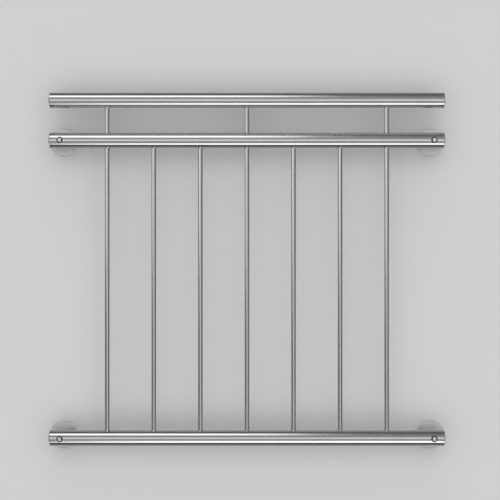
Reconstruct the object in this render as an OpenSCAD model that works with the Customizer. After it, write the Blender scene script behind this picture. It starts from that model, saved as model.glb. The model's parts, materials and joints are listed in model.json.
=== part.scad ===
// Juliet balcony: a stainless steel guard that hangs on four brackets.
// Three round rail tubes lie one above the other. Upright bars are let into holes in the rails, and
// the upper and lower rails are bolted to the brackets from the front.
// Millimetres. X runs along the rails, Y to the back, Z up. The origin is the centre of the lower
// left flange, on its back face.

/* [Rails] */
// Outside diameter of the three rail tubes
rail_d = 40; // [38:0.1:48.3]
// Wall thickness of the rail tubes
rail_wall = 2; // [1.5:0.1:3]
// Length of a rail tube without its end caps
rail_len = 1000; // [940:1:1600]
// Height from the underside of the lower rail to the top of the top rail
guard_h = 900; // [800:1:1200]
// Distance between the axes of the top rail and the upper rail
top_pitch = 102; // [80:1:140]
// Distance from the backs of the flanges to the axes of the rails
rail_offset = 70; // [64:1:110]

/* [Bars] */
// Diameter of the upright bars
bar_d = 12; // [10:0.5:16]
// Distance between the axes of neighbouring bars
bar_pitch = 118.7; // [80:0.1:120]
// How far a bar reaches into a rail past the crown of the tube
bar_entry = 8; // [5:0.5:14]
// Clearance around a bar in its hole, on each side
bar_fit = 0.1; // [0.05:0.05:0.3]

/* [End caps] */
// Height of the straight rim of an end cap
cap_rim = 2; // [1:0.1:4]
// Rise of the dome above the rim
cap_dome = 3.5; // [1:0.1:6]
// Chamfer around the rim
cap_chamfer = 1; // [0.3:0.1:1]
// Length of the spigot that plugs the tube
cap_spigot = 14; // [8:0.5:18]
// Wall thickness of the hollow spigot
cap_wall = 3; // [2:0.5:6]
// Clearance between the spigot and the bore of the tube, on each side
cap_fit = 0.1; // [0.05:0.05:0.3]

/* [Brackets] */
// Distance from the end of a rail tube to the axis of its bracket
mount_inset = 25; // [24:0.5:120]
// Diameter of the flange at the back of a bracket
flange_d = 70; // [64:1:100]
// Thickness of the flange
flange_t = 6; // [5:0.5:10]
// Chamfer on the front edge of the flange
flange_chamfer = 1; // [0.5:0.1:2]
// Distance from the edge of the flange to the axis of a screw hole
screw_inset = 10; // [9.5:0.1:11]
// Diameter of the screw holes through the flange
screw_hole_d = 9; // [6:0.5:10]
// Diameter of the countersink of a screw hole
screw_sink_d = 16; // [12:0.5:17]
// Diameter of the stand-off between the flange and the rail
stand_off_d = 25; // [18:0.5:28]
// Clearance between the rail and what is shaped to seat on it
seat_fit = 0.1; // [0.05:0.05:0.3]

/* [Rail bolts] */
// Diameter of the bolt shank
bolt_d = 8; // [6:0.5:10]
// Diameter of the bolt holes through the rails and the washers
bolt_hole_d = 9; // [8.5:0.1:11]
// Diameter of the button head
head_d = 14; // [13:0.1:18]
// Height of the button head
head_h = 4.4; // [3.5:0.1:6]
// Height of the straight edge around the button head
head_edge = 0.6; // [0.3:0.1:1]
// Diameter of the flat on top of the button head
head_flat_d = 7.2; // [6.5:0.1:9]
// Size of the hexagon socket across its flats
socket_w = 5; // [3:0.5:5.5]
// Depth of the hexagon socket
socket_h = 2.6; // [2:0.1:3]
// Diameter of the saddle washer under the head
washer_d = 16; // [14:0.5:20]
// Thickness of the saddle washer over the crown of the rail
washer_t = 1.2; // [1:0.1:3]
// Length of the bolt that is screwed into the stand-off
bolt_grip = 18; // [10:1:22]
// Depth of the tapped hole past the end of the bolt
tap_spare = 4; // [1:0.5:8]
// Clearance around the bolt in the tapped hole, on each side
tap_fit = 0.1; // [0.05:0.05:0.2]

/* [Hidden] */
$fn = 96;

// Colours of the steel finishes
rail_colour = "#c3c5c7";
bar_colour = "#b9bbbd";
cap_colour = "#adafb1";
bracket_colour = "#a4a6a8";
fastener_colour = "#8e9092";

left = -1;
right = 1;
sides = [left, right];

// Places of the bars and struts along the rails, counted from the middle bar
bar_places = [-3, -2, -1, 0, 1, 2, 3];
strut_places = [-3, 0, 3];

// Heights of the rail axes
lower_z = 0;
top_z = guard_h - rail_d;
upper_z = top_z - top_pitch;

// Ends of the rail tubes, and the middle of the balcony
mount_span = rail_len - 2 * mount_inset;
rail_x0 = -mount_inset;
rail_x1 = mount_span + mount_inset;
mid_x = mount_span / 2;

rail_r = rail_d / 2;
rail_bore_d = rail_d - 2 * rail_wall;
bar_hole_d = bar_d + 2 * bar_fit;
seat_d = rail_d + 2 * seat_fit;
dome_r = (pow(rail_r, 2) + pow(cap_dome, 2)) / (2 * cap_dome);
// Radius, at the foot of the rim, of the cone that chamfers it
cap_cone_r = rail_r + cap_rim - cap_chamfer;
screw_circle_r = flange_d / 2 - screw_inset;
screw_sink_h = (screw_sink_d - screw_hole_d) / 2;
screw_count = 2;

// Centre and radius of the ball that rounds the button head, from its edge and its top flat
head_ball_z = (pow(head_d / 2, 2) + pow(head_edge, 2) - pow(head_flat_d / 2, 2) - pow(head_h, 2))
    / (2 * (head_edge - head_h));
head_ball_r = norm([head_d / 2, head_edge - head_ball_z]);

// Cutting tools run past the faces that they cut by this much
cut = 1;

function bar_x(place) = mid_x + place * bar_pitch;
function mount_x(side) = side == left ? 0 : mount_span;
function rail_end_x(side) = side == left ? rail_x0 : rail_x1;

// Round bar along X from x0 to x1
module rod_x(d, x0, x1) {
    translate([x0, 0, 0]) rotate([0, 90, 0]) cylinder(d = d, h = x1 - x0);
}

// Turns what stands along +Z so that it points to the front, along -Y
module to_front() {
    rotate([90, 0, 0]) children();
}

// Puts a piece in its place on a bracket, mirrored on the right so that the two sides match
module at_mount(side, z) {
    translate([mount_x(side), 0, z]) mirror([side == right ? 1 : 0, 0, 0]) children();
}

// The space that a rail takes, grown by the seat's clearance, on the axis of the rail
module rail_seat() {
    rod_x(seat_d, -flange_d, flange_d);
}

// Rail tube with the holes that its bars and bolts need
module rail(z, bars_above, bars_below, bolted) {
    color(rail_colour)
    translate([0, -rail_offset, z])
    difference() {
        rod_x(rail_d, rail_x0, rail_x1);
        rod_x(rail_bore_d, rail_x0 - cut, rail_x1 + cut);
        for (place = bars_above)
            translate([bar_x(place), 0, 0]) cylinder(d = bar_hole_d, h = rail_d);
        for (place = bars_below)
            translate([bar_x(place), 0, -rail_d]) cylinder(d = bar_hole_d, h = rail_d);
        if (bolted)
            for (side = sides)
                translate([mount_x(side), rail_d, 0])
                to_front() cylinder(d = bolt_hole_d, h = 2 * rail_d);
    }
}

module top_rail() {
    rail(top_z, [], strut_places, false);
}

module upper_rail() {
    rail(upper_z, strut_places, bar_places, true);
}

module lower_rail() {
    rail(lower_z, bar_places, [], true);
}

// Domed plug that closes one end of a rail tube
module end_cap(side, z) {
    color(cap_colour)
    translate([rail_end_x(side), -rail_offset, z])
    mirror([side == left ? 1 : 0, 0, 0])
    rotate([0, 90, 0])
    union() {
        intersection() {
            cylinder(d = rail_d, h = cap_rim + cap_dome);
            translate([0, 0, cap_rim + cap_dome - dome_r]) sphere(r = dome_r);
            cylinder(r1 = cap_cone_r, r2 = cap_cone_r - cap_rim - cap_dome, h = cap_rim + cap_dome);
        }
        translate([0, 0, -cap_spigot])
        difference() {
            cylinder(d = rail_bore_d - 2 * cap_fit, h = cap_spigot + cap_rim / 2);
            translate([0, 0, -cut])
            cylinder(d = rail_bore_d - 2 * (cap_fit + cap_wall), h = cap_spigot + cut);
        }
    }
}

// Upright bar between two rail axes, let into the facing sides of both
module upright(place, z0, z1) {
    color(bar_colour)
    translate([bar_x(place), -rail_offset, z0 + rail_r - bar_entry])
    cylinder(d = bar_d, h = z1 - z0 - rail_d + 2 * bar_entry);
}

module strut(place) {
    upright(place, upper_z, top_z);
}

module bar(place) {
    upright(place, lower_z, upper_z);
}

// Flange with a countersunk screw hole on each side of the stand-off, hidden behind the rail
module flange(side, z) {
    color(bracket_colour)
    at_mount(side, z) to_front()
    difference() {
        union() {
            cylinder(d = flange_d, h = flange_t - flange_chamfer);
            translate([0, 0, flange_t - flange_chamfer])
            cylinder(d1 = flange_d, d2 = flange_d - 2 * flange_chamfer, h = flange_chamfer);
        }
        for (i = [0 : screw_count - 1])
            rotate(i * 360 / screw_count) translate([screw_circle_r, 0, 0]) screw_hole();
    }
}

// Countersunk hole, cut from the front of the flange
module screw_hole() {
    translate([0, 0, -cut]) cylinder(d = screw_hole_d, h = flange_t + 2 * cut);
    translate([0, 0, flange_t - screw_sink_h])
    cylinder(d1 = screw_hole_d, d2 = screw_sink_d + 2 * cut, h = screw_sink_h + cut);
}

// Post between the flange and the rail, with a saddle for the rail and a tapped hole for the bolt
module stand_off(side, z) {
    color(bracket_colour)
    at_mount(side, z)
    difference() {
        to_front() translate([0, 0, flange_t]) cylinder(d = stand_off_d, h = rail_offset - flange_t);
        translate([0, -rail_offset, 0]) rail_seat();
        translate([0, rail_r - rail_offset + bolt_grip + tap_spare, 0])
        to_front() cylinder(d = bolt_d + 2 * tap_fit, h = rail_offset);
    }
}

// Washer with a hollow back that seats on the round of the rail
module saddle_washer(side, z) {
    color(fastener_colour)
    at_mount(side, z)
    translate([0, -rail_offset, 0])
    difference() {
        to_front() cylinder(d = washer_d, h = rail_r + washer_t);
        rail_seat();
        to_front() cylinder(d = bolt_hole_d, h = rail_d);
    }
}

// Button-head bolt with a hexagon socket, through the rail into the stand-off
module rail_bolt(side, z) {
    shank = washer_t + rail_d + bolt_grip;
    color(fastener_colour)
    at_mount(side, z)
    translate([0, -rail_offset - rail_r - washer_t, 0])
    to_front()
    difference() {
        union() {
            translate([0, 0, -shank]) cylinder(d = bolt_d, h = shank + head_edge);
            intersection() {
                cylinder(d = head_d, h = head_h);
                translate([0, 0, head_ball_z]) sphere(r = head_ball_r);
            }
        }
        translate([0, 0, head_h - socket_h])
        cylinder(d = socket_w / cos(30), h = socket_h + cut, $fn = 6);
    }
}

top_rail();
upper_rail();
lower_rail();
end_cap(left, top_z);  // top_rail_left_cap
end_cap(right, top_z);  // top_rail_right_cap
end_cap(left, upper_z);  // upper_rail_left_cap
end_cap(right, upper_z);  // upper_rail_right_cap
end_cap(left, lower_z);  // lower_rail_left_cap
end_cap(right, lower_z);  // lower_rail_right_cap
strut(strut_places[0]);  // left_strut
strut(strut_places[1]);  // centre_strut
strut(strut_places[2]);  // right_strut
bar(bar_places[0]);  // left_end_bar
bar(bar_places[1]);  // infill_bar_1
bar(bar_places[2]);  // infill_bar_2
bar(bar_places[3]);  // infill_bar_3
bar(bar_places[4]);  // infill_bar_4
bar(bar_places[5]);  // infill_bar_5
bar(bar_places[6]);  // right_end_bar
flange(left, upper_z);  // upper_left_flange
flange(right, upper_z);  // upper_right_flange
flange(left, lower_z);  // lower_left_flange
flange(right, lower_z);  // lower_right_flange
stand_off(left, upper_z);  // upper_left_stand_off
stand_off(right, upper_z);  // upper_right_stand_off
stand_off(left, lower_z);  // lower_left_stand_off
stand_off(right, lower_z);  // lower_right_stand_off
saddle_washer(left, upper_z);  // upper_left_washer
saddle_washer(right, upper_z);  // upper_right_washer
saddle_washer(left, lower_z);  // lower_left_washer
saddle_washer(right, lower_z);  // lower_right_washer
rail_bolt(left, upper_z);  // upper_left_bolt
rail_bolt(right, upper_z);  // upper_right_bolt
rail_bolt(left, lower_z);  // lower_left_bolt
rail_bolt(right, lower_z);  // lower_right_bolt
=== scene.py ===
import json
import math

import bpy
import numpy as np
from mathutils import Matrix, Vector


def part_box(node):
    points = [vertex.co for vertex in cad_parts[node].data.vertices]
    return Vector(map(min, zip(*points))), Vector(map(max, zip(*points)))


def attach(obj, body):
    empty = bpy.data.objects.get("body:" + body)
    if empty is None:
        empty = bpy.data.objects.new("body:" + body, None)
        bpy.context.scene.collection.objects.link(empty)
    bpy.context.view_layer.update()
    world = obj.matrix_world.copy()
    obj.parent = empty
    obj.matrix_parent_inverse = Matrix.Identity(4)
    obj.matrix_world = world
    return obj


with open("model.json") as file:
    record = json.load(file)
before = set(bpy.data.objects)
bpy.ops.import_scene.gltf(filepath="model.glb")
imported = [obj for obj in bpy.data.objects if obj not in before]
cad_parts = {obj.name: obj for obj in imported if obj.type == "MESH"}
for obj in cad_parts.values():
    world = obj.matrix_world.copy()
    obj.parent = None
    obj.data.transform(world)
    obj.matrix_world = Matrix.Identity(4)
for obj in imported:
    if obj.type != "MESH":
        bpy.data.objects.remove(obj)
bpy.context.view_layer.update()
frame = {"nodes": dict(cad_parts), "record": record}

MM = 0.001
AXES = "XYZ"

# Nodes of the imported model
RAILS = ("top_rail", "upper_rail", "lower_rail")
STRUTS = ("left_strut", "centre_strut", "right_strut")
BARS = ("left_end_bar", *(f"infill_bar_{i}" for i in range(1, 6)), "right_end_bar")
BRACKETS = [f"{level}_{side}" for level in ("upper", "lower") for side in ("left", "right")]


def centre(node):
    """The middle of a node's box, as an array."""
    low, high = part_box(node)
    return np.array((low + high) / 2)


def width(node, axis):
    """How far a node reaches along an axis."""
    low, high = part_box(node)
    place = AXES.index(axis)
    return high[place] - low[place]


# Sizes and places taken from the nodes, in metres
RAIL_R = width("top_rail", "Z") / 2
BAR_R = width("centre_strut", "X") / 2
STAND_OFF_R = width("lower_left_stand_off", "X") / 2
FLANGE_T = width("lower_left_flange", "Y")
MID_X, RAIL_Y, _ = centre("top_rail")
RAIL_Z = {rail: centre(rail)[AXES.index("Z")] for rail in RAILS}
RAIL_AXES = [(MID_X, RAIL_Y, z) for z in RAIL_Z.values()]
FLANGE_AXES = [centre(f"{corner}_flange") for corner in BRACKETS]
BOLT_AXES = [centre(f"{corner}_bolt") for corner in BRACKETS]


def linear(hex_colour):
    """An sRGB hex colour as linear red, green, blue and alpha."""
    srgb = np.array([int(hex_colour[i:i + 2], 16) for i in (1, 3, 5)]) / 255
    return (*np.where(srgb <= 0.04045, srgb / 12.92, ((srgb + 0.055) / 1.055) ** 2.4), 1.0)


def add(tree, kind, inputs=None, **settings):
    """Adds a node. Settings are its own properties; inputs are values, or sockets to link.

    Inputs go by the name or the place of the node's socket.
    """
    made = tree.nodes.new(kind)
    for name, value in settings.items():
        setattr(made, name, value)
    for key, value in (inputs or {}).items():
        if isinstance(value, bpy.types.NodeSocket):
            tree.links.new(value, made.inputs[key])
        else:
            made.inputs[key].default_value = value
    return made


# Places of a Mix node's sockets: its two colours and the colour that comes out, or its two values
COLOUR_A, COLOUR_B, COLOUR_OUT = 6, 7, 2
VALUE_A, VALUE_B = 2, 3


def new_material(name):
    """An empty node material, its tree and its Object coordinates."""
    material = bpy.data.materials.new(name)
    material.use_nodes = True
    tree = material.node_tree
    tree.nodes.clear()
    return material, tree, add(tree, "ShaderNodeTexCoord").outputs["Object"]


# Materials

CLOUD_MM = 60.0
# The sums of marks and clouds between which tint and gloss shift, and how far they shift either way
SHIFT_FROM, SHIFT_TO = 0.6, 1.4
TINT_SHIFT, GLOSS_SHIFT = 0.04, 0.07
QUARTER_TURN = 0.25


def steel(tree, colour, marks, place, axis, roughness, anisotropy, mark_depth_mm):
    """The shader of stainless steel whose grinding or turning marks, from 0 to 1, circle an axis.

    The marks keep reflections crisp round the axis and smear them along it. They also vary the tint
    and the gloss a little, and so do broad soft clouds, where the tool pressed more or less.
    """
    clouds = add(tree, "ShaderNodeTexNoise", {
        "Vector": place, "Scale": 1 / (CLOUD_MM * MM), "Detail": 2.0})
    mixed = add(tree, "ShaderNodeMath", {0: marks, 1: clouds.outputs[0]}, operation="ADD")
    shade, rough = (
        add(tree, "ShaderNodeMapRange", {
            "Value": mixed.outputs[0], "From Min": SHIFT_FROM, "From Max": SHIFT_TO,
            "To Min": middle * (1 - shift), "To Max": middle * (1 + shift)})
        for middle, shift in ((1.0, TINT_SHIFT), (roughness, GLOSS_SHIFT)))
    tint = add(tree, "ShaderNodeMix", {
        "Factor": 1.0, COLOUR_A: colour, COLOUR_B: shade.outputs[0]},
        data_type="RGBA", blend_type="MULTIPLY")
    bump = add(tree, "ShaderNodeBump", {
        "Height": marks, "Strength": 1.0, "Distance": mark_depth_mm * MM})
    tangent = add(tree, "ShaderNodeTangent", direction_type="RADIAL", axis=axis)
    shader = add(tree, "ShaderNodeBsdfPrincipled", {
        "Base Color": tint.outputs[COLOUR_OUT], "Metallic": 1.0, "Roughness": rough.outputs[0],
        "Anisotropic": anisotropy, "Anisotropic Rotation": QUARTER_TURN,
        "Normal": bump.outputs[0], "Tangent": tangent.outputs[0]})
    add(tree, "ShaderNodeOutputMaterial", {"Surface": shader.outputs[0]})


def ground_steel(name, colour, axis, roughness, anisotropy):
    """Stainless steel ground by a belt round the piece, so that fine lines circle the given axis.

    It gives long bright bands with crisp edges along a tube or bar, which fade slowly towards its
    ends. A belt leaves its lines about 0.1 mm apart. They are drawn 1 mm apart, as coarse as a
    close view needs.
    """
    material, tree, place = new_material(name)
    line_mm, line_length_mm, line_depth_mm = 1.0, 60.0, 0.0005
    scale = [1 / ((line_mm if letter == axis else line_length_mm) * MM) for letter in AXES]
    drawn_out = add(tree, "ShaderNodeMapping", {"Vector": place, "Scale": scale})
    lines = add(tree, "ShaderNodeTexNoise", {
        "Vector": drawn_out.outputs[0], "Scale": 1.0, "Detail": 3.0})
    steel(tree, linear(colour), lines.outputs[0], place, axis, roughness, anisotropy, line_depth_mm)
    return material


def radius_from(tree, place, axis, centres):
    """The distance from the nearest of several centres, measured square to an axis."""
    square = [0.0 if letter == axis else 1.0 for letter in AXES]
    nearest = None
    for middle in centres:
        offset = add(tree, "ShaderNodeVectorMath", {
            0: place, 1: tuple(middle)}, operation="SUBTRACT")
        flat = add(tree, "ShaderNodeVectorMath", {
            0: offset.outputs[0], 1: square}, operation="MULTIPLY")
        length = add(tree, "ShaderNodeVectorMath", {0: flat.outputs[0]}, operation="LENGTH")
        reach = length.outputs["Value"]
        nearest = reach if nearest is None else add(
            tree, "ShaderNodeMath", {0: nearest, 1: reach}, operation="MINIMUM").outputs[0]
    return nearest


def turned_steel(name, colour, axis, centres, roughness, anisotropy):
    """Stainless steel faced on a lathe, so that fine rings circle the middle of each piece.

    It gives a soft fan of light across a face, from its middle to its edge. A lathe leaves its
    rings about 0.1 mm apart. They are drawn 0.7 mm apart, as coarse as a close view needs.
    """
    material, tree, place = new_material(name)
    ring_mm, ring_depth_mm = 0.7, 0.001
    radius = radius_from(tree, place, axis, centres)
    rings = add(tree, "ShaderNodeTexNoise", {
        "W": radius, "Scale": 1 / (ring_mm * MM), "Detail": 2.0}, noise_dimensions="1D")
    steel(tree, linear(colour), rings.outputs[0], place, axis, roughness, anisotropy, ring_depth_mm)
    return material


def bolt_steel():
    """Stainless steel, cold formed and tumbled, with a fine even grain.

    A dark ring of painted shade is drawn over the edge of each head and its washer, round the bright
    middle of each bolt. It stands for the shade in the crease and the dark reflection in the head's
    sloping edge.
    """
    material, tree, place = new_material("tumbled_stainless_bolt")
    # The second colour is painted shade, for the dark ring round each head
    bright, painted_shade_colour = linear("#cfd0d1"), linear("#474849")
    painted_shade_from_mm, painted_shade_full_mm = 4.4, 5.6
    grain_mm, grain_depth_mm = 0.5, 0.002
    roughness, anisotropy = 0.24, 0.0
    grain = add(tree, "ShaderNodeTexNoise", {
        "Vector": place, "Scale": 1 / (grain_mm * MM), "Detail": 2.0})
    radius = radius_from(tree, place, "Y", BOLT_AXES)
    # Painted shade: darker from this radius outwards, a ring over the head's sloping edge and its
    # washer
    painted_shade_ring = add(tree, "ShaderNodeMapRange", {
        "Value": radius, "From Min": painted_shade_from_mm * MM, "From Max": painted_shade_full_mm * MM},
        interpolation_type="SMOOTHSTEP")
    tint = add(tree, "ShaderNodeMix", {
        "Factor": painted_shade_ring.outputs[0], COLOUR_A: bright, COLOUR_B: painted_shade_colour}, data_type="RGBA")
    steel(tree, tint.outputs[COLOUR_OUT], grain.outputs[0], place, "Y", roughness, anisotropy,
          grain_depth_mm)
    return material


def weld_steel():
    """Stainless weld metal, pickled after welding.

    It is matt and finely mottled, and so a little duller than the ground bars beside it.
    """
    material, tree, place = new_material("pickled_stainless_weld")
    dull, pale = linear("#9fa0a1"), linear("#c2c3c3")
    mottle_mm, mottle_depth_mm, roughness = 0.8, 0.02, 0.42
    mottle = add(tree, "ShaderNodeTexNoise", {
        "Vector": place, "Scale": 1 / (mottle_mm * MM), "Detail": 3.0})
    tint = add(tree, "ShaderNodeMix", {
        "Factor": mottle.outputs[0], COLOUR_A: dull, COLOUR_B: pale}, data_type="RGBA")
    bump = add(tree, "ShaderNodeBump", {
        "Height": mottle.outputs[0], "Strength": 1.0, "Distance": mottle_depth_mm * MM})
    shader = add(tree, "ShaderNodeBsdfPrincipled", {
        "Base Color": tint.outputs[COLOUR_OUT], "Metallic": 1.0, "Roughness": roughness,
        "Normal": bump.outputs[0]})
    add(tree, "ShaderNodeOutputMaterial", {"Surface": shader.outputs[0]})
    return material


SLOT_MATERIALS = {
    "rail_steel": ground_steel("satin_ground_stainless_tube", "#c6c7c7", "X", 0.13, 0.51),
    "bar_steel": ground_steel("satin_ground_stainless_bar", "#bdbebe", "Z", 0.146, 0.505),
    "cap_steel": turned_steel("turned_stainless_cap", "#c4c5c5", "X", RAIL_AXES, 0.22, 0.5),
    "bracket_steel": turned_steel(
        "turned_stainless_bracket", "#d6d7d7", "Y", FLANGE_AXES, 0.38, 0.4),
    "fastener_steel": bolt_steel(),
}
for part in frame["record"]["subparts"]:
    mesh = frame["nodes"][part["node"]].data
    mesh.materials.clear()
    mesh.materials.append(SLOT_MATERIALS[part["material_slot"]])


# Surfaces worked out on grids

def grid_object(name, patches, material, closed):
    """An object of one or more grids of points, all rows by columns. Each cell is a quad.

    A closed grid joins its last row to its first, and its last column to its first.
    """
    count, rows, columns = patches.shape[:3]
    index = np.arange(rows * columns).reshape(rows, columns)
    if closed:
        index = np.pad(index, ((0, 1), (0, 1)), mode="wrap")
    corners = (index[:-1, :-1], index[:-1, 1:], index[1:, 1:], index[1:, :-1])
    quads = np.stack(corners, axis=-1).reshape(-1, 4)
    quads = (quads + np.arange(count)[:, None, None] * rows * columns).reshape(-1, 4)
    mesh = bpy.data.meshes.new(name)
    mesh.from_pydata(patches.reshape(-1, 3), [], quads)
    mesh.polygons.foreach_set("use_smooth", np.ones(len(quads), dtype=bool))
    mesh.materials.append(material)
    made = bpy.data.objects.new(name, mesh)
    bpy.context.scene.collection.objects.link(made)
    return made


def smoothstep(t):
    """The soft step: three times t squared less twice t cubed, with t held between 0 and 1."""
    t = np.clip(t, 0, 1)
    return t * t * (3 - 2 * t)


# Welds

BAR_WELD_LEG, BRACKET_WELD_LEG = 1.0 * MM, 1.6 * MM
WELD_METAL = weld_steel()


def weld_ring(bar_r, leg, ground):
    """A fillet weld round a bar, as a closed ring of points in the bar's own frame.

    Angle a goes round the bar, and angle b goes across the bead. Out from the bar the bead reaches
    its crown times the sine of b to the power of the bulge. Up from the surface that it stands on,
    which ground gives beside the bar, it reaches its crown times the cosine of b to that power. The
    crown is the leg, lengthened and shortened by ripples of the torch: the share ripple of the leg,
    times the sine of twice b, times the cosine of count times a less sweep times b. One row of root
    points, sunk in both pieces, closes the section.
    """
    around, across, bulge = 120, 9, 1.6
    ripple, ripple_mm, sweep = 0.07, 1.1, 1.2
    sink, root = 0.05 * MM, -0.4 * MM
    a = np.linspace(0, 2 * np.pi, around, endpoint=False)[:, None]
    b = np.linspace(0, np.pi / 2, across)[None, :]
    count = round(2 * np.pi * bar_r / (ripple_mm * MM))
    crown = leg * (1 + ripple * np.sin(2 * b) * np.cos(count * a - sweep * b))
    out = crown * np.sin(b) ** bulge - sink
    up = crown * np.cos(b) ** bulge - sink
    out, up = (np.pad(side, ((0, 0), (0, 1)), constant_values=root) for side in (out, up))
    u, v = (bar_r + out) * np.cos(a), (bar_r + out) * np.sin(a)
    return np.stack((u, v, ground(v) + up), axis=-1)


def weld_piece(name, rings):
    """One piece of joined weld rings that rides with the balcony."""
    piece = grid_object(name, np.stack(rings), WELD_METAL, closed=True)
    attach(piece, "root")


def on_rail(rail, uprights, side):
    """Bar welds on top of a rail, where side is 1, or turned over under it, where side is -1."""
    ring = weld_ring(BAR_R, BAR_WELD_LEG, lambda v: np.sqrt(RAIL_R ** 2 - v ** 2))
    turned = ring * (1, side, side)
    places = [(centre(upright)[AXES.index("X")], RAIL_Y, RAIL_Z[rail]) for upright in uprights]
    return [turned + place for place in places]


def on_flanges():
    """Stand-off welds on the fronts of the flanges, each ring turned from upwards to forwards."""
    ring = weld_ring(STAND_OFF_R, BRACKET_WELD_LEG, lambda v: np.full_like(v, FLANGE_T))
    u, v, w = np.moveaxis(ring, -1, 0)
    turned = np.stack((u, -w, v), axis=-1)
    return [turned + (x, 0, z) for x, _, z in FLANGE_AXES]


upper_rings = on_rail("upper_rail", STRUTS, 1) + on_rail("upper_rail", BARS, -1)
weld_piece("top_rail_welds", on_rail("top_rail", STRUTS, -1))
weld_piece("upper_rail_welds", upper_rings)
weld_piece("lower_rail_welds", on_rail("lower_rail", BARS, 1))
weld_piece("bracket_welds", on_flanges())


# The studio. Places are in metres from the middle of the rails, level with the camera.

CAMERA_BACK = 3.45
CAMERA_ASIDE = 7.7 * MM
CAMERA_UP = 0.4789
STUDIO = np.array((MID_X + CAMERA_ASIDE, RAIL_Y, RAIL_Z["lower_rail"] + CAMERA_UP))

# Soft boxes that show in the steel: a corner, two edges from there, the level, and for each edge
# the shares of it that fade at its start and at its end
SOFT_BOXES = {
    "overhead_soft_box": (
        (-16, -13.71, 13.1), (16.77, 0, 0), (0, 9.6, 0), 1.9, ((0.1, 0.01), (0.02, 0.02))),
    "right_overhead_soft_box": (
        (6, -13.71, 13.1), (10, 0, 0), (0, 9.6, 0), 1.9, ((0.2, 0.2), (0.02, 0.02))),
    "low_soft_box": (
        (-3.5, -13.3, -12.7), (19.5, 0, 0), (0, 9.05, 0), 1.8, ((0.097, 0.1), (0.02, 0.02))),
    "left_low_soft_box": (
        (-16, -13.3, -12.7), (9.5, 0, 0), (0, 9.05, 0), 1.8, ((0.2, 0.2), (0.02, 0.02))),
    "front_soft_box": (
        (-4.2, -11.6, -2.88), (12.2, 0, 0), (0, 0, 9.2), 0.97, ((0.05, 0.05), (0.02, 0.6))),
    "left_soft_box": (
        (-14.1, -5.13, -0.24), (6.48, -11.19, 0), (0, 0, 4.3), 1.65, ((0.05, 0.05), (0.02, 0.3))),
    "left_side_soft_box": (
        (-5.0, 1.6, 1.4), (0, -2.4, 0), (0, 0, 3.2), 1.0, ((0.2, 0.2), (0.2, 0.2))),
    "right_side_soft_box": (
        (5.0, -1.6, 1.4), (0, 3.2, 0), (0, 0, 3.2), 1.0, ((0.2, 0.2), (0.2, 0.2))),
    "rear_soft_box": (
        (-4.0, 6.0, -2.6), (8.0, 0, 0), (0, 0, 5.8), 0.8, ((0.2, 0.2), (0.2, 0.3))),
    "left_rear_soft_box": (
        (-8.0, 2.9, -6.0), (4.0, 4.6, 0), (0, 0, 4.7), 0.8, ((0.25, 0.25), (0.3, 0.3))),
    "right_rear_soft_box": (
        (4.0, 7.5, -6.0), (4.0, -4.6, 0), (0, 0, 4.7), 0.8, ((0.25, 0.25), (0.3, 0.3))),
    "left_front_soft_box": (
        (-8.16, -3.8, -5.5), (4.36, -4.36, 0), (0, 0, 3.1), 0.9, ((0.25, 0.25), (0.3, 0.3))),
    "right_front_soft_box": (
        (3.8, -8.16, -5.5), (4.36, 4.36, 0), (0, 0, 3.1), 0.9, ((0.25, 0.25), (0.3, 0.3))),
}
# Grid lines across each fade of a soft box
FADE_LINES = 9

# What the steel reflects between the boxes: levels by the height of a direction, in degrees, and
# those that they give way to between two reaches towards the back
DOME_LEVELS = ((-90, 0.03), (-74, 0.05), (-62, 0.29), (-42, 0.39), (-18, 0.39), (-9, 0.23),
               (6, 0.24), (25, 0.40), (38, 0.34), (54, 0.23), (72, 0.16), (90, 0.14))
BACK_LEVELS = ((-66, 0.52), (-46, 0.34), (-30, 0.27), (30, 0.27), (66, 0.44))
BACK_FROM, BACK_TO = 0.05, 0.6
DOME_REACH = 40.0
# Degrees between grid lines of the dome, upwards and around
DOME_STEP_UP, DOME_STEP_AROUND = 3, 6

# What lights the floor and the backdrop: a low level all round, and wide soft lamps, each with the
# axis of its direction, the reach along that axis where it starts and where it is full, and its
# level. The room looks plain pale grey, also in a reflection.
ROOM_LEVEL, PALE_LEVEL = 0.2, 0.72
ROOM_LAMPS = (("Y", -0.5, -0.83, 0.874), ("Z", 0.75, 0.97, 1.2))
WHITE = linear("#ffffff")


def room_light():
    """A pale room with a wide soft lamp in front, for the backdrop, and one above, for the floor."""
    world = bpy.data.worlds.new("studio")
    bpy.context.scene.world = world
    world.use_nodes = True
    world.cycles.sampling_method = "NONE"
    tree = world.node_tree
    tree.nodes.clear()
    way = add(tree, "ShaderNodeTexCoord").outputs["Generated"]
    along = add(tree, "ShaderNodeSeparateXYZ", {0: way}).outputs
    level = ROOM_LEVEL
    for axis, start, full, lamp_level in ROOM_LAMPS:
        lamp = add(tree, "ShaderNodeMapRange", {
            "Value": along[axis], "From Min": start, "From Max": full, "To Max": lamp_level},
            interpolation_type="SMOOTHSTEP")
        both = add(tree, "ShaderNodeMath", {0: level, 1: lamp.outputs[0]}, operation="ADD")
        level = both.outputs[0]
    rays = add(tree, "ShaderNodeLightPath").outputs
    plain = rays["Is Camera Ray"]
    for kind in ("Is Glossy Ray", "Is Transmission Ray"):
        either = add(tree, "ShaderNodeMath", {0: plain, 1: rays[kind]}, operation="MAXIMUM")
        plain = either.outputs[0]
    seen = add(tree, "ShaderNodeMix", {"Factor": plain, VALUE_A: level, VALUE_B: PALE_LEVEL})
    glow = add(tree, "ShaderNodeBackground", {"Color": WHITE, "Strength": seen.outputs[0]})
    add(tree, "ShaderNodeOutputWorld", {"Surface": glow.outputs[0]})


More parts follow.
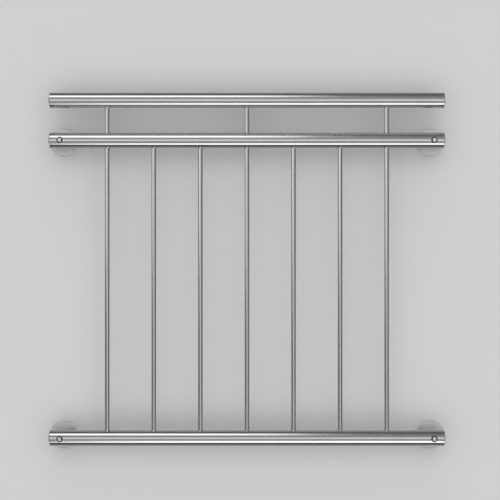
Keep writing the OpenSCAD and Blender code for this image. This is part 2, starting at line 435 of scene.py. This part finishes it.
def lamp_cloth():
    """Lit cloth. Attributes on its points say how much it glows and how far it covers what is behind.

    It only glows for rays that have met no matt surface, so that it shows in the steel, and the
    steel casts none of its light on the backdrop.
    """
    material, tree, _ = new_material("lit_cloth")
    material.cycles.emission_sampling = "NONE"
    level, cover = (add(tree, "ShaderNodeAttribute", attribute_name=name).outputs["Fac"]
                    for name in ("level", "cover"))
    less_than_one = 0.5
    matt_surfaces = add(tree, "ShaderNodeLightPath").outputs["Diffuse Depth"]
    direct = add(tree, "ShaderNodeMath", {
        0: matt_surfaces, 1: less_than_one}, operation="LESS_THAN")
    glow = add(tree, "ShaderNodeMath", {0: level, 1: direct.outputs[0]}, operation="MULTIPLY")
    light = add(tree, "ShaderNodeEmission", {"Color": WHITE, "Strength": glow.outputs[0]})
    clear = add(tree, "ShaderNodeBsdfTransparent")
    cloth = add(tree, "ShaderNodeMixShader", {0: cover, 1: clear.outputs[0], 2: light.outputs[0]})
    add(tree, "ShaderNodeOutputMaterial", {"Surface": cloth.outputs[0]})
    return material


def hide_from(thing, kinds):
    """Keeps a stage object out of the sight of some kinds of rays."""
    for kind in kinds:
        setattr(thing, f"visible_{kind}", False)


def cloth_sheet(name, offsets, level, cover):
    """A sheet of lit cloth at a grid of places in the studio, which only shows in the steel."""
    sheet = grid_object(name, (STUDIO + offsets)[None], CLOTH, closed=False)
    for attribute, values in (("level", level), ("cover", cover)):
        values = np.broadcast_to(values, offsets.shape[:2]).ravel()
        sheet.data.attributes.new(attribute, "FLOAT", "POINT").data.foreach_set("value", values)
    hide_from(sheet, ("camera", "diffuse", "shadow"))


def soft_box(name, corner, first, second, level, fades):
    """A flat lamp, whose points lie at its corner plus s times its first edge plus t times its second.

    Both s and t go from 0 to 1. Its cover is the product of a soft step up from each of its four
    sides. Grid lines lie only where the cover changes.
    """
    s, t = np.meshgrid(*(
        np.concatenate((np.linspace(0, start, FADE_LINES), np.linspace(1 - end, 1, FADE_LINES)))
        for start, end in fades), indexing="ij")
    cover = np.ones_like(s)
    for along, (start, end) in zip((s, t), fades):
        cover *= smoothstep(along / start) * smoothstep((1 - along) / end)
    offsets = corner + s[..., None] * np.array(first) + t[..., None] * np.array(second)
    cloth_sheet(name, offsets, level, cover)


def dim_dome():
    """A ball round the studio, which draws dark lines in the steel between the boxes.

    At the height h and the turn a, a point lies out from the middle by the reach: to the right by
    cosine h times sine a of it, to the front by cosine h times cosine a, and upwards by sine h. Its
    level runs straight from one of the given heights to the next, and gives way with a soft step to
    that of the back.
    """
    heights = np.arange(-90, 91, DOME_STEP_UP)[:, None]
    h = np.radians(heights)
    a = np.radians(np.arange(0, 361, DOME_STEP_AROUND))[None, :]
    right, back, up = np.broadcast_arrays(np.cos(h) * np.sin(a), -np.cos(h) * np.cos(a), np.sin(h))
    level, back_level = (np.interp(heights, *np.transpose(levels))
                         for levels in (DOME_LEVELS, BACK_LEVELS))
    share = smoothstep((back - BACK_FROM) / (BACK_TO - BACK_FROM))
    offsets = DOME_REACH * np.stack((right, back, up), axis=-1)
    cloth_sheet("dim_dome", offsets, level + (back_level - level) * share, 1.0)


def painted_board(name, colour, see_through_back):
    """Matt emulsion paint on board, with the faint stipple of a roller."""
    material, tree, place = new_material(name)
    stipple_mm, stipple_depth_mm, stipple_strength = 2.5, 0.1, 0.2
    stipple = add(tree, "ShaderNodeTexNoise", {
        "Vector": place, "Scale": 1 / (stipple_mm * MM), "Detail": 2.0})
    bump = add(tree, "ShaderNodeBump", {
        "Height": stipple.outputs[0], "Strength": stipple_strength,
        "Distance": stipple_depth_mm * MM})
    paint = add(tree, "ShaderNodeBsdfDiffuse", {
        "Color": linear(colour), "Normal": bump.outputs[0]})
    if see_through_back:
        clear = add(tree, "ShaderNodeBsdfTransparent")
        back = add(tree, "ShaderNodeNewGeometry").outputs["Backfacing"]
        paint = add(tree, "ShaderNodeMixShader", {
            0: back, 1: paint.outputs[0], 2: clear.outputs[0]})
    add(tree, "ShaderNodeOutputMaterial", {"Surface": paint.outputs[0]})
    return material


def board(name, corners, material):
    """A flat sheet with the given corners. Only the camera sees it, so it neither lights nor shades."""
    mesh = bpy.data.meshes.new(name)
    mesh.from_pydata(corners, [], [(0, 1, 2, 3)])
    mesh.materials.append(material)
    sheet = bpy.data.objects.new(name, mesh)
    bpy.context.scene.collection.objects.link(sheet)
    hide_from(sheet, ("diffuse", "glossy", "transmission", "shadow"))


room_light()
CLOTH = lamp_cloth()
dim_dome()
for box_name, box_place in SOFT_BOXES.items():
    soft_box(box_name, *box_place)

PALE_GREY = "#f0f0f0"
REACH, FLOOR_Z, BACKDROP_Y = 30.0, -0.26, 0.6 * MM
FLOOR_CORNERS = [(-REACH, -REACH, FLOOR_Z), (REACH, -REACH, FLOOR_Z),
                 (REACH, REACH, FLOOR_Z), (-REACH, REACH, FLOOR_Z)]
BACKDROP_CORNERS = [(-REACH, BACKDROP_Y, FLOOR_Z), (REACH, BACKDROP_Y, FLOOR_Z),
                    (REACH, BACKDROP_Y, REACH), (-REACH, BACKDROP_Y, REACH)]
board("floor", FLOOR_CORNERS,
      painted_board("pale_floor_paint", PALE_GREY, see_through_back=False))
board("backdrop", BACKDROP_CORNERS,
      painted_board("pale_backdrop_paint", PALE_GREY, see_through_back=True))


# The camera, level and straight on to the rails

IMAGE_WIDTH = 1274.5 * MM
SENSOR_WIDTH_MM = 36.0

lens = bpy.data.cameras.new("camera")
lens.sensor_width = SENSOR_WIDTH_MM
lens.lens = SENSOR_WIDTH_MM * CAMERA_BACK / IMAGE_WIDTH
camera = bpy.data.objects.new("camera", lens)
camera.location = STUDIO + (0, -CAMERA_BACK, 0)
camera.rotation_euler = (math.radians(90), 0, 0)
bpy.context.scene.collection.objects.link(camera)
bpy.context.scene.camera = camera
bpy.context.scene.view_settings.view_transform = "Standard"
